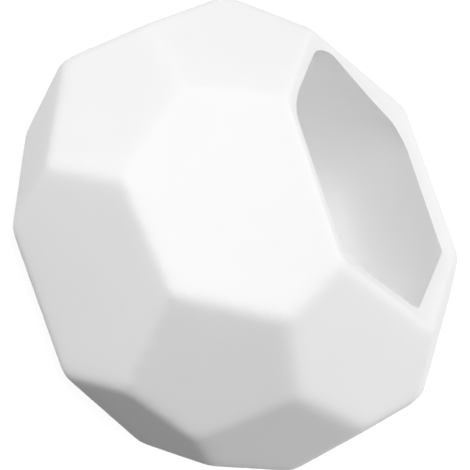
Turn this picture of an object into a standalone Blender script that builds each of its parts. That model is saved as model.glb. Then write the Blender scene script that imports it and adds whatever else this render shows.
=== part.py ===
"""Faceted hydroponic vase: one cast ceramic shell on four soft foot pads."""
import bmesh
import bpy
from math import cos, radians, sin
from mathutils import Vector

MM = 0.001

# Driving dimensions in metres
BASE_DEPTH = 35.8 * MM        # facet centre down to the flat base
MOUTH_RISE = 45.5 * MM        # facet centre up to the plane of the mouth
WALL = 5.0 * MM               # ceramic wall, measured square to a facet
FLOOR = 6.0 * MM              # ceramic under the water
EDGE_ROUND = 2.2 * MM         # how far the rounding runs in from an outer edge
EDGE_TURN = 10.0              # least turn, in degrees, of an edge that is rounded
RIM_ROUND = 3.8 * MM          # the same on the inner edge of the mouth
RIM_TURN = 60.0
ROUND_STEPS = 3               # flat strips in each rounding of the ceramic
PAD_DIAMETER = 12.0 * MM
PAD_HEIGHT = 2.0 * MM
PAD_EDGE = 0.3 * MM
PAD_EDGE_TURN = 60.0
PAD_EDGE_STEPS = 2
PAD_SIDES = 48
GLUE_GAP = 0.3 * MM           # adhesive between a pad and the base
PAD_REACH_X = 26.0 * MM       # pad centres, each way from the middle
PAD_REACH_Y = 24.0 * MM
BLOCK = 300.0 * MM            # blank that the facets are cut from
CAVITY_LIFT = 20.0 * MM       # how far the cavity tool stands out of the mouth
CERAMIC_COLOUR = (0.9, 0.9, 0.9)
CERAMIC_ROUGHNESS = 0.56
SILICONE_COLOUR = (0.62, 0.63, 0.63)
SILICONE_ROUGHNESS = 0.6

# Facets: tilt from straight up, heading from +X, distance from the facet centre in mm
SHOULDER = [
    (51.5, -105.0, 57.5),
    (48.5, -156.0, 58.5),
    (46.5, -37.0, 59.5),
    (41.0, 18.5, 60.0),
    (53.5, 76.5, 60.0),
    (51.0, 144.5, 58.3),
]
WAIST = [
    (85.0, -137.0, 61.0),
    (83.5, -2.0, 62.0),
    (85.0, 43.0, 59.5),
    (86.5, -178.0, 63.0),
]
WAIST_PAIRS = [
    (84.0, -61.5, 63.0),
    (86.5, -34.0, 62.5),
]
SKIRT = [
    (123.5, -9.5, 55.5),
    (120.0, 169.0, 58.0),
]
SKIRT_PAIRS = [
    (108.5, -99.5, 58.5),
    (123.0, -49.5, 60.0),
    (119.0, -140.0, 61.0),
]


def half_turn(facets):
    """The same facets on the far side of the vase."""
    return [(tilt, heading + 180.0, distance) for tilt, heading, distance in facets]


def facet_planes():
    """Outward direction and distance of every sloping facet."""
    facets = SHOULDER + WAIST + SKIRT
    for pairs in (WAIST_PAIRS, SKIRT_PAIRS):
        facets = facets + pairs + half_turn(pairs)
    planes = []
    for tilt, heading, distance in facets:
        level = sin(radians(tilt))
        outward = Vector((
            level * cos(radians(heading)),
            level * sin(radians(heading)),
            cos(radians(tilt)),
        ))
        planes.append((outward, distance * MM))
    return planes


def cut_facet(bm, outward, distance):
    """Slice the blank off beyond one plane and close the cut."""
    bmesh.ops.bisect_plane(
        bm,
        geom=bm.verts[:] + bm.edges[:] + bm.faces[:],
        plane_co=outward * distance,
        plane_no=outward,
        clear_outer=True,
    )
    open_edges = [edge for edge in bm.edges if edge.is_boundary]
    bmesh.ops.holes_fill(bm, edges=open_edges, sides=0)


def faceted_mesh(name, inset, top, bottom):
    """A blank cut by every facet, set in from the outer surface."""
    bm = bmesh.new()
    bmesh.ops.create_cube(bm, size=BLOCK)
    for outward, distance in facet_planes():
        cut_facet(bm, outward, distance - inset)
    cut_facet(bm, Vector((0, 0, 1)), top)
    cut_facet(bm, Vector((0, 0, -1)), bottom)
    bmesh.ops.recalc_face_normals(bm, faces=bm.faces[:])
    mesh = bpy.data.meshes.new(name)
    bm.to_mesh(mesh)
    bm.free()
    return mesh


def principled(name, colour, roughness):
    """A plain material with a colour and a roughness."""
    material = bpy.data.materials.new(name)
    material.use_nodes = True
    shader = material.node_tree.nodes["Principled BSDF"]
    shader.inputs["Base Color"].default_value = (*colour, 1.0)
    shader.inputs["Roughness"].default_value = roughness
    shader.inputs["Metallic"].default_value = 0.0
    material.diffuse_color = (*colour, 1.0)
    return material


def round_edges(obj, name, width, segments, least_angle):
    """Bevel every edge that turns by more than an angle."""
    bevel = obj.modifiers.new(name, "BEVEL")
    bevel.width = width
    bevel.segments = segments
    bevel.limit_method = "ANGLE"
    bevel.angle_limit = radians(least_angle)
    bevel.use_clamp_overlap = False


def footprint_middle(mesh):
    """Middle of a mesh's bounding box, seen from above."""
    xs = [vertex.co.x for vertex in mesh.vertices]
    ys = [vertex.co.y for vertex in mesh.vertices]
    return (min(xs) + max(xs)) / 2, (min(ys) + max(ys)) / 2


def make_body(parts, tools):
    """The ceramic shell: outer facets, hollowed through the mouth."""
    outer = faceted_mesh("vase_body", 0.0, MOUTH_RISE, BASE_DEPTH)
    body = bpy.data.objects.new("vase_body", outer)
    parts.objects.link(body)
    middle_x, middle_y = footprint_middle(outer)
    body.location = (-middle_x, -middle_y, PAD_HEIGHT + GLUE_GAP + BASE_DEPTH)

    hollow = faceted_mesh("cavity", WALL, MOUTH_RISE + CAVITY_LIFT, BASE_DEPTH - FLOOR)
    cavity = bpy.data.objects.new("cavity", hollow)
    tools.objects.link(cavity)
    cavity.parent = body
    cavity.hide_render = True
    cavity.display_type = "WIRE"

    round_edges(body, "Soft outside", EDGE_ROUND, ROUND_STEPS, EDGE_TURN)
    hollowing = body.modifiers.new("Hollow", "BOOLEAN")
    hollowing.object = cavity
    hollowing.operation = "DIFFERENCE"
    hollowing.solver = "EXACT"
    round_edges(body, "Soft rim", RIM_ROUND, ROUND_STEPS, RIM_TURN)
    outer.materials.append(principled("White ceramic", CERAMIC_COLOUR, CERAMIC_ROUGHNESS))


def make_pad(parts, name, x, y, material):
    """One soft pad under the base."""
    bm = bmesh.new()
    bmesh.ops.create_cone(
        bm,
        cap_ends=True,
        segments=PAD_SIDES,
        radius1=PAD_DIAMETER / 2,
        radius2=PAD_DIAMETER / 2,
        depth=PAD_HEIGHT,
    )
    mesh = bpy.data.meshes.new(name)
    bm.to_mesh(mesh)
    bm.free()
    mesh.materials.append(material)
    pad = bpy.data.objects.new(name, mesh)
    parts.objects.link(pad)
    pad.location = (x, y, PAD_HEIGHT / 2)
    round_edges(pad, "Soft edge", PAD_EDGE, PAD_EDGE_STEPS, PAD_EDGE_TURN)


def main():
    for obj in list(bpy.data.objects):
        bpy.data.objects.remove(obj, do_unlink=True)
    parts = bpy.data.collections.new("hydroponic_vase")
    tools = bpy.data.collections.new("cutters")
    bpy.context.scene.collection.children.link(parts)
    bpy.context.scene.collection.children.link(tools)

    make_body(parts, tools)
    silicone = principled("Frosted silicone", SILICONE_COLOUR, SILICONE_ROUGHNESS)
    corners = [(-1, -1), (1, -1), (1, 1), (-1, 1)]
    for number, (side_x, side_y) in enumerate(corners, start=1):
        make_pad(parts, f"foot_pad_{number}", side_x * PAD_REACH_X, side_y * PAD_REACH_Y, silicone)


main()
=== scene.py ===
import math
import bpy
from mathutils import Matrix, Quaternion, Vector


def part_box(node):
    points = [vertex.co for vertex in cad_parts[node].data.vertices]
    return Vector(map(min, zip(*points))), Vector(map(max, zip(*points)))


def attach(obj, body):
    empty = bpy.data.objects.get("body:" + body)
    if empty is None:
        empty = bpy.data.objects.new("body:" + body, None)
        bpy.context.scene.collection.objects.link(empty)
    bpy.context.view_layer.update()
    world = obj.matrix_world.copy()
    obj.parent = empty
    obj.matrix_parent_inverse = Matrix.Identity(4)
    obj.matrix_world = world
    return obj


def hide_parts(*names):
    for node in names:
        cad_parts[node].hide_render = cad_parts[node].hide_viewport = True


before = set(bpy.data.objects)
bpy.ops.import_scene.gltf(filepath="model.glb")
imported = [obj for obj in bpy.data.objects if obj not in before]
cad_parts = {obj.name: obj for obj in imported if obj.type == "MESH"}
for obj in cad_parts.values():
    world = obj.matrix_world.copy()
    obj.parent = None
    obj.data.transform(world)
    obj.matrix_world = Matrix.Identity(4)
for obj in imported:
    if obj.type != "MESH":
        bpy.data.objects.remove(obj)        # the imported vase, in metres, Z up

mm = 0.001
upright = Vector((0, 0, 1))
scene = bpy.context.scene
scene.view_settings.view_transform = "Standard"
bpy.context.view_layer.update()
print("frame loaded", len(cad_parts), "nodes")


# small helpers that the pieces share

def pickOnly(obj):
    bpy.ops.object.select_all(action="DESELECT")
    obj.select_set(True)
    bpy.context.view_layer.objects.active = obj


def applyAll(obj):
    pickOnly(obj)
    for modifier in list(obj.modifiers):
        bpy.ops.object.modifier_apply(modifier=modifier.name)


def placeInMesh(obj):
    pickOnly(obj)
    bpy.ops.object.transform_apply(location=True, rotation=True, scale=True)


def startPicking(kind):        # faces or edges, with none of them selected yet
    bpy.ops.object.mode_set(mode="EDIT")
    bpy.ops.mesh.select_mode(type=kind)
    bpy.ops.mesh.select_all(action="DESELECT")
    bpy.ops.object.mode_set(mode="OBJECT")


def pickFaces(obj, wanted):
    startPicking("FACE")
    for face in obj.data.polygons:
        face.select = wanted(face)
    bpy.ops.object.mode_set(mode="EDIT")


def pickEdges(obj, wanted):
    startPicking("EDGE")
    for edge in obj.data.edges:
        edge.select = wanted(*[obj.data.vertices[index].co for index in edge.vertices])
    bpy.ops.object.mode_set(mode="EDIT")


def outwards(heading, elevation):        # direction away from the vase, from angles in degrees
    turn = math.radians(heading)
    rise = math.radians(elevation)
    return Vector((math.cos(rise) * math.cos(turn), math.cos(rise) * math.sin(turn), math.sin(rise)))


class Wire:
    # one shader socket; sums on it add Math nodes
    def __init__(self, tree, socket=None):
        self.tree = tree
        self.socket = socket

    def make(self, kind, settings, inputs, output=0):
        node = self.tree.nodes.new(kind)
        for name, value in settings.items():
            setattr(node, name, value)
        for name, value in inputs.items():
            if isinstance(value, Wire):
                self.tree.links.new(value.socket, node.inputs[name])
            else:
                node.inputs[name].default_value = value
        return Wire(self.tree, node.outputs[output])

    def maths(self, operation, first, second):
        return self.make("ShaderNodeMath", {"operation": operation}, {0: first, 1: second})

    def __add__(self, other):
        return self.maths("ADD", self, other)

    def __radd__(self, other):
        return self.maths("ADD", other, self)

    def __sub__(self, other):
        return self.maths("SUBTRACT", self, other)

    def __rsub__(self, other):
        return self.maths("SUBTRACT", other, self)

    def __mul__(self, other):
        return self.maths("MULTIPLY", self, other)

    def __rmul__(self, other):
        return self.maths("MULTIPLY", other, self)

    def coords(self):
        return self.make("ShaderNodeTexCoord", {}, {}, "Object")

    def height(self):
        return self.make("ShaderNodeSeparateXYZ", {}, {"Vector": self}, "Z")

    def noise(self, size, detail, roughness=0.5):
        return self.make("ShaderNodeTexNoise", {},
                         {"Vector": self, "Scale": 1 / size, "Detail": detail, "Roughness": roughness})

    def dots(self, gap):        # distance to the nearest of many scattered dots, as a share of their gap
        return self.make("ShaderNodeTexVoronoi", {}, {"Vector": self, "Scale": 1 / gap}, "Distance")

    def ramp(self, low, high):        # 0 below low, 1 above high
        return self.make("ShaderNodeMapRange", {"interpolation_type": "SMOOTHSTEP"},
                         {"Value": self, "From Min": low, "From Max": high})

    def blend(self, first, second):        # inputs 6 and 7 and output 2 are the node's colours
        return self.make("ShaderNodeMix", {"data_type": "RGBA"}, {0: self, 6: first, 7: second}, 2)


def newFinish(name):
    finish = bpy.data.materials.new(name)
    finish.use_nodes = True
    return finish, finish.node_tree.nodes["Principled BSDF"], Wire(finish.node_tree)


def plug(shader, name, wire):
    wire.tree.links.new(wire.socket, shader.inputs[name])


def plugRelief(shader, relief, strength, depth):
    bump = relief.make("ShaderNodeBump", {}, {"Height": relief, "Strength": strength, "Distance": depth})
    plug(shader, "Normal", bump)


# ceramic finish: satin glaze outside, a liner inside whose extra whiteness is painted light that brightens
# the hollow, bare clay under the base

glaze = {
    "white": (0.9, 0.9, 0.9, 1.0),
    "cloud": (0.885, 0.885, 0.885, 1.0),
    # the liner is whiter than the outer glaze as painted light: it brightens the hollow
    "linerWithPaintedLight": (0.948, 0.948, 0.948, 1.0),
    "bisque": (0.79, 0.765, 0.72, 1.0),
    "speck": (0.70, 0.68, 0.64, 1.0),
    "cloudNoise": (38 * mm, 4),         # size and detail of each noise, and the roughness of the last one
    "waveNoise": (16 * mm, 2),
    "peelNoise": (1.6 * mm, 2),
    "grainNoise": (0.45 * mm, 3, 0.7),
    "cloudEdge": (0.35, 0.65),
    "speckGap": 5 * mm,
    "speckEdge": (0.035, 0.07),
    "speckShare": 0.1,
    "glazeLine": (0.25 * mm, 0.7 * mm),        # heights above the base where the glaze starts and is full
    "roughness": 0.52,
    "roughnessSpread": 0.08,
    "bareRoughness": 0.3,               # added on the bare clay
    "waveRelief": 0.6,
    "peelRelief": 0.12,
    "grainRelief": 0.25,
    "reliefStrength": 0.25,
    "reliefDepth": 0.4 * mm,
    "linerDepth": 0.24 * mm,
    "ior": 1.4,
}


def makeGlaze(baseHeight):
    finish, shader, start = newFinish("satin white glaze")
    coords = start.coords()
    cloud = coords.noise(*glaze["cloudNoise"])
    wave = coords.noise(*glaze["waveNoise"])
    peel = coords.noise(*glaze["peelNoise"])
    grain = coords.noise(*glaze["grainNoise"])
    glazeStart, glazeFull = glaze["glazeLine"]
    bare = 1 - coords.height().ramp(baseHeight + glazeStart, baseHeight + glazeFull)
    specks = (1 - coords.dots(glaze["speckGap"]).ramp(*glaze["speckEdge"])) * glaze["speckShare"]
    colour = cloud.ramp(*glaze["cloudEdge"]).blend(glaze["cloud"], glaze["white"])
    colour = specks.blend(colour, glaze["speck"])
    plug(shader, "Base Color", bare.blend(colour, glaze["bisque"]))
    roughness = glaze["roughness"] + cloud * glaze["roughnessSpread"] + bare * glaze["bareRoughness"]
    plug(shader, "Roughness", roughness)
    glazed = wave * glaze["waveRelief"] + peel * glaze["peelRelief"] * (1 - bare)
    relief = glazed + grain * bare * glaze["grainRelief"]
    plugRelief(shader, relief, glaze["reliefStrength"], glaze["reliefDepth"])
    shader.inputs["IOR"].default_value = glaze["ior"]
    return finish


def makeLinerWithPaintedLight():
    finish, shader, start = newFinish("liner glaze whitened as painted light")
    wave = start.coords().noise(*glaze["waveNoise"])
    # this whiter base colour is painted light for the inside of the hollow
    shader.inputs["Base Color"].default_value = glaze["linerWithPaintedLight"]
    plug(shader, "Roughness", glaze["roughness"] + wave * glaze["roughnessSpread"])
    plugRelief(shader, wave, glaze["reliefStrength"], glaze["linerDepth"])
    shader.inputs["IOR"].default_value = glaze["ior"]
    return finish


# ceramic shell: facets read from the solid, softened like a glazed casting, then hollowed

shell = {
    "node": "vase_body",
    "sameWay": 0.99995,         # faces that look this nearly the same way, in one plane, are one facet
    "samePlane": 0.05 * mm,
    "leastFacet": 100 * mm * mm,
    "steep": 0.5,               # upward part of a facet's direction: less on a wall, more on a shoulder
    "level": 0.99,              # and more than this on the mouth and, downwards, on the base
    "wall": 5.0 * mm,
    "floor": 6.0 * mm,
    "blank": 300 * mm,
    "neck": 12 * mm,            # how far the cutting tools stand out of the mouth
    "mouthCorners": [           # inner corners of the rim, in millimetres
        (14.6, -35.3), (36.2, -5.5), (26.4, 28.5),
        (-9.1, 38.0), (-39.5, 8.7), (-27.6, -24.5),
    ],
    "rimDrop": 1.9 * mm,        # the rim falls inwards by this much
    "rimSlope": math.radians(15.5),
    "rimEdge": 1.8 * mm,        # flat strip along the outer edge of the mouth, and the fall beside it
    "rimFall": math.radians(26),
    "round": 5.5 * mm,          # corners of the mouth: the rounder and the crisper ones
    "crisp": 1.0 * mm,
    "cornerSteps": 5,
    "roundHeadings": (-138, -68, 104, 168),        # where the rounder ones are, in degrees
    "headingReach": 25,
    "outsideGrain": 1.1 * mm,
    "outsidePasses": 28,
    "insideGrain": 1.2 * mm,
    "insidePasses": 300,
    "insideStart": 4 * mm,      # depths where the softening of the inside starts and is full
    "insideFull": 18 * mm,
    "softness": 0.5,
    "sliver": 0.04 * mm,
    "edgeAngle": math.radians(50),
}


def readFacets(node, middle):
    facets = []
    for face in node.data.polygons:
        if (face.center - middle).dot(face.normal) < 0:        # the hollow looks inwards
            continue
        for facet in facets:
            sameWay = facet["outward"].dot(face.normal) > shell["sameWay"]
            if sameWay and abs((face.center - facet["point"]).dot(face.normal)) < shell["samePlane"]:
                facet["area"] += face.area
                break
        else:
            facets.append({"outward": face.normal.copy(), "point": face.center.copy(), "area": face.area})
    return [facet for facet in facets if facet["area"] > shell["leastFacet"]]


def isShoulder(facet):
    return shell["steep"] < facet["outward"].z < shell["level"]


def readMouth(top):        # a corner at the start of each side of the mouth, and the way that side looks out
    corners = [Vector((x * mm, y * mm, top.z - shell["rimDrop"])) for x, y in shell["mouthCorners"]]
    sides = []
    for start, end in zip(corners, corners[1:] + corners[:1]):
        along = end - start
        sides.append((start, Vector((along.y, -along.x, 0)).normalized()))
    return sides


def fallFrom(side, angle):        # the way a plane looks that falls inwards from a side
    return side * math.sin(angle) - upright * math.cos(angle)


def rimPlanes(facets, sides, top):
    planes = [(top + upright * shell["neck"], upright)]
    for start, side in sides:
        planes.append((start, fallFrom(side, shell["rimSlope"])))
    for facet in filter(isShoulder, facets):
        side = Vector((facet["outward"].x, facet["outward"].y, 0)).normalized()
        uphill = upright - facet["outward"] * facet["outward"].z
        edge = facet["point"] + uphill * ((top.z - facet["point"].z) / uphill.z)
        planes.append((edge - side * shell["rimEdge"], fallFrom(side, shell["rimFall"])))
    return planes


def hollowPlanes(facets, sides, top):
    planes = [(top + upright * shell["neck"], upright)]
    shoulders = [facet["outward"] for facet in facets if isShoulder(facet)]
    for start, side in sides:        # each side of the mouth keeps the slope of its shoulder facet
        slope = max(shoulders, key=side.dot).z
        planes.append((start, side * math.sqrt(1 - slope * slope) + upright * slope))
    for facet in facets:
        if facet["outward"].z < shell["steep"]:
            isBase = facet["outward"].z < -shell["level"]
            depth = shell["floor"] if isBase else shell["wall"]
            planes.append((facet["point"] - facet["outward"] * depth, facet["outward"]))
    return planes


def cutSolid(name, planes, middle):
    bpy.ops.object.select_all(action="DESELECT")
    bpy.ops.mesh.primitive_cube_add(size=shell["blank"], location=middle)
    solid = bpy.context.object
    solid.name = name
    placeInMesh(solid)
    bpy.ops.object.mode_set(mode="EDIT")
    for point, outward in planes:
        bpy.ops.mesh.select_all(action="SELECT")
        bpy.ops.mesh.bisect(plane_co=point, plane_no=outward, use_fill=True, clear_outer=True)
    bpy.ops.mesh.select_all(action="SELECT")
    bpy.ops.mesh.normals_make_consistent(inside=False)
    bpy.ops.object.mode_set(mode="OBJECT")
    return solid


def roundCorners(hollow, middle, top):
    def crossesMouth(first, second):
        return min(first.z, second.z) < top.z < max(first.z, second.z)

    def isRound(first, second):
        across = (first + second) / 2 - middle
        heading = math.degrees(math.atan2(across.y, across.x))
        return min(abs(heading - wanted) for wanted in shell["roundHeadings"]) < shell["headingReach"]

    for offset, wantRound in ((shell["round"], True), (shell["crisp"], False)):
        pickEdges(hollow, lambda *ends: crossesMouth(*ends) and isRound(*ends) == wantRound)
        bpy.ops.mesh.bevel(offset=offset, segments=shell["cornerSteps"], affect="EDGES", clamp_overlap=False)
        bpy.ops.object.mode_set(mode="OBJECT")


def cutAway(solid, tool):
    cut = solid.modifiers.new(tool.name, "BOOLEAN")
    cut.operation = "DIFFERENCE"
    cut.solver = "EXACT"
    cut.material_mode = "TRANSFER"
    cut.object = tool
    applyAll(solid)
    bpy.data.objects.remove(tool, do_unlink=True)


def weighDepth(solid, mouthHeight):        # 0 by the mouth, 1 well below it
    weights = solid.vertex_groups.new(name="below the mouth")
    for vertex in solid.data.vertices:
        depth = mouthHeight - vertex.co.z - shell["insideStart"]
        share = depth / (shell["insideFull"] - shell["insideStart"])
        weights.add([vertex.index], min(max(share, 0.0), 1.0), "REPLACE")
    return weights.name


def softenEdges(solid, grain, passes, mouthHeight=None):        # all over, or only below the mouth
    skin = solid.modifiers.new("skin", "REMESH")
    skin.mode = "VOXEL"
    skin.voxel_size = grain
    applyAll(solid)
    soft = solid.modifiers.new("soft edges", "SMOOTH")
    soft.factor = shell["softness"]
    soft.iterations = passes
    if mouthHeight is not None:
        soft.vertex_group = weighDepth(solid, mouthHeight)
    applyAll(solid)


def mergeSlivers(solid):        # the last cut leaves a few along the lip
    pickOnly(solid)
    bpy.ops.object.mode_set(mode="EDIT")
    bpy.ops.mesh.select_all(action="SELECT")
    bpy.ops.mesh.remove_doubles(threshold=shell["sliver"])
    bpy.ops.mesh.dissolve_degenerate(threshold=shell["sliver"])
    bpy.ops.object.mode_set(mode="OBJECT")


def makeShell():
    low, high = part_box(shell["node"])
    middle = (low + high) / 2
    top = Vector((0, 0, high.z))
    facets = readFacets(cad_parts[shell["node"]], middle)
    sides = readMouth(top)
    body = cutSolid("vaseShell", [(facet["point"], facet["outward"]) for facet in facets], middle)
    cutAway(body, cutSolid("rim", rimPlanes(facets, sides, top), middle))
    softenEdges(body, shell["outsideGrain"], shell["outsidePasses"])
    body.data.materials.clear()        # the rim's tool leaves an empty slot
    body.data.materials.append(makeGlaze(low.z))
    hollow = cutSolid("hollow", hollowPlanes(facets, sides, top), middle)
    roundCorners(hollow, middle, top)
    softenEdges(hollow, shell["insideGrain"], shell["insidePasses"], top.z)
    # the inside gets the whitened liner, painted light for the hollow
    hollow.data.materials.append(makeLinerWithPaintedLight())
    cutAway(body, hollow)
    mergeSlivers(body)
    bpy.ops.object.shade_smooth_by_angle(angle=shell["edgeAngle"])
    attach(body, "root")
    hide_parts(shell["node"])
    print("shell", len(facets), "facets", len(body.data.polygons), "faces")


# foot pads: soft discs with a ring groove below and an adhesive film above

pad = {
    "nodes": ["foot_pad_1", "foot_pad_2", "foot_pad_3", "foot_pad_4"],
    "sides": 72,
    "facing": 0.9,              # the top and the underside look up and down by more than this
    "rim": 1.5 * mm,
    "grooveSlope": 0.3 * mm,
    "grooveWidth": 0.7 * mm,
    "grooveDepth": 0.3 * mm,
    "glueInset": 0.5 * mm,
    "glue": 0.28 * mm,
    "edge": 0.3 * mm,
    "edgeSteps": 3,
    "edgeTurn": math.radians(60),
    "smoothTurn": math.radians(35),
    "frost": (0.62, 0.63, 0.63, 1.0),
    "frostDark": (0.56, 0.57, 0.575, 1.0),
    "film": (0.80, 0.79, 0.74, 1.0),
    "filmEdge": 0.02 * mm,
    "mottleNoise": (3 * mm, 4),        # size and detail
    "mottleEdge": (0.35, 0.65),
    "frostNoise": (0.35 * mm, 2),
    "roughness": 0.55,
    "roughnessSpread": 0.15,
    "reliefStrength": 0.3,
    "reliefDepth": 0.08 * mm,
}


def makeSilicone(padTop):
    finish, shader, start = newFinish("frosted silicone")
    coords = start.coords()
    mottle = coords.noise(*pad["mottleNoise"])
    frost = coords.noise(*pad["frostNoise"])
    film = coords.height().ramp(padTop - pad["filmEdge"], padTop + pad["filmEdge"])
    colour = mottle.ramp(*pad["mottleEdge"]).blend(pad["frostDark"], pad["frost"])
    plug(shader, "Base Color", film.blend(colour, pad["film"]))
    plug(shader, "Roughness", pad["roughness"] + mottle * pad["roughnessSpread"])
    plugRelief(shader, frost, pad["reliefStrength"], pad["reliefDepth"])
    return finish


def modelPad():
    low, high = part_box(pad["nodes"][0])
    bpy.ops.object.select_all(action="DESELECT")
    bpy.ops.mesh.primitive_cylinder_add(
        vertices=pad["sides"],
        radius=(high.x - low.x) / 2,
        depth=high.z - low.z,
        location=(0, 0, (low.z + high.z) / 2),
    )
    disc = bpy.context.object
    placeInMesh(disc)
    pickFaces(disc, lambda face: face.normal.z < -pad["facing"])        # underside: a shallow ring groove
    bpy.ops.mesh.inset(thickness=pad["rim"], depth=0)
    bpy.ops.mesh.inset(thickness=pad["grooveSlope"], depth=-pad["grooveDepth"])
    bpy.ops.mesh.inset(thickness=pad["grooveWidth"], depth=0)
    bpy.ops.mesh.inset(thickness=pad["grooveSlope"], depth=pad["grooveDepth"])
    bpy.ops.object.mode_set(mode="OBJECT")
    pickFaces(disc, lambda face: face.normal.z > pad["facing"])         # top: the adhesive film
    bpy.ops.mesh.inset(thickness=pad["glueInset"], depth=0)
    bpy.ops.mesh.extrude_region_move(TRANSFORM_OT_translate={"value": upright * pad["glue"]})
    bpy.ops.object.mode_set(mode="OBJECT")
    rounding = disc.modifiers.new("soft edge", "BEVEL")
    rounding.width = pad["edge"]
    rounding.segments = pad["edgeSteps"]
    rounding.limit_method = "ANGLE"
    rounding.angle_limit = pad["edgeTurn"]
    applyAll(disc)
    bpy.ops.object.shade_smooth_by_angle(angle=pad["smoothTurn"])
    disc.data.materials.append(makeSilicone(high.z))
    return disc


def makePads():
    first = modelPad()
    for number, node in enumerate(pad["nodes"], start=1):
        low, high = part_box(node)
        disc = first.copy()
        disc.data = first.data.copy()
        disc.name = f"footPad.{number}"
        scene.collection.objects.link(disc)
        disc.data.transform(Matrix.Translation(((low.x + high.x) / 2, (low.y + high.y) / 2, 0)))
        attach(disc, "root")
        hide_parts(node)
    bpy.data.objects.remove(first, do_unlink=True)
    print("pads", len(pad["nodes"]))


# photograph's view: the vase lies over in the frame, so the camera is rolled

view = {
    "aim": Vector((-1.74, 0.46, 39.39)) * mm,
    "heading": -89.8,
    "elevation": 25.5,
    "roll": 65.4,
    "distance": 600 * mm,
    "nearest": 10 * mm,
    "lens": 168.0,              # lens and sensor in millimetres, as the camera takes them
    "sensor": 36.0,
}


def makeCamera():
    back = outwards(view["heading"], view["elevation"])
    roll = Quaternion(upright, math.radians(view["roll"]))
    bpy.ops.object.camera_add(location=view["aim"] + back * view["distance"])
    camera = bpy.context.object
    camera.rotation_mode = "QUATERNION"
    camera.rotation_quaternion = back.to_track_quat("Z", "Y") @ roll
    camera.data.lens = view["lens"]
    camera.data.sensor_width = view["sensor"]
    camera.data.clip_start = view["nearest"]
    scene.camera = camera
    print("camera set")


# studio: soft lamps, with a floor and a sky that are white to the camera and in reflections

studio = {
    "white": (1.0, 1.0, 1.0, 1.0),
    "floorSize": 6.0,
    "floorColour": (0.1, 0.1, 0.1, 1.0),        # under its white, so that it throws little light back up
    "floorRoughness": 0.9,
    "floorLift": 0.94,           # the white that it shows
    "bounces": 24,               # a white hollow sends light round many times
    "lampDistance": 1.3,
    "lampSize": 0.9,
    "lamps": {                   # angles in degrees, power in watts
        "low": {"heading": -128, "elevation": 2, "power": 8.7, "height": 0.12},
        "front": {"heading": -110, "elevation": 40, "power": 8.1},
        "side": {"heading": 170, "elevation": 15, "power": 2.3},
        "right": {"heading": 8, "elevation": 43, "power": 9.7},
        "back": {"heading": 105, "elevation": 50, "power": 6.2},
    },
}


def backgroundRays(start):        # 1 where the camera, a reflection or clear glass sees the background
    rays = ["Is Camera Ray", "Is Glossy Ray", "Is Transmission Ray"]
    seen, glossy, through = [start.make("ShaderNodeLightPath", {}, {}, ray) for ray in rays]
    return seen + glossy + through


def makeFloor():
    bpy.ops.object.select_all(action="DESELECT")
    bpy.ops.mesh.primitive_plane_add(size=studio["floorSize"], location=(0, 0, 0))
    floor = bpy.context.object
    floor.name = "floor"
    finish, shader, start = newFinish("pale floor")
    shader.inputs["Base Color"].default_value = studio["floorColour"]
    shader.inputs["Roughness"].default_value = studio["floorRoughness"]
    shader.inputs["Emission Color"].default_value = studio["white"]
    plug(shader, "Emission Strength", backgroundRays(start) * studio["floorLift"])
    floor.data.materials.append(finish)


def makeSky():
    world = bpy.data.worlds.new("studio sky")
    scene.world = world
    world.use_nodes = True
    background = world.node_tree.nodes["Background"]
    background.inputs["Color"].default_value = studio["white"]
    plug(background, "Strength", backgroundRays(Wire(world.node_tree)))


def makeLamps():
    for name, lamp in studio["lamps"].items():
        away = outwards(lamp["heading"], lamp["elevation"])
        bpy.ops.object.light_add(type="AREA", location=view["aim"] + away * studio["lampDistance"])
        light = bpy.context.object
        light.name = name
        light.rotation_mode = "QUATERNION"
        light.rotation_quaternion = away.to_track_quat("Z", "Y")
        light.data.shape = "ELLIPSE"
        light.data.size = studio["lampSize"]
        light.data.size_y = lamp.get("height", studio["lampSize"])
        light.data.energy = lamp["power"]
    scene.cycles.max_bounces = studio["bounces"]
    scene.cycles.diffuse_bounces = studio["bounces"]
    print("studio", len(studio["lamps"]), "lamps")


makeCamera()
makeShell()
makePads()
makeFloor()
makeSky()
makeLamps()
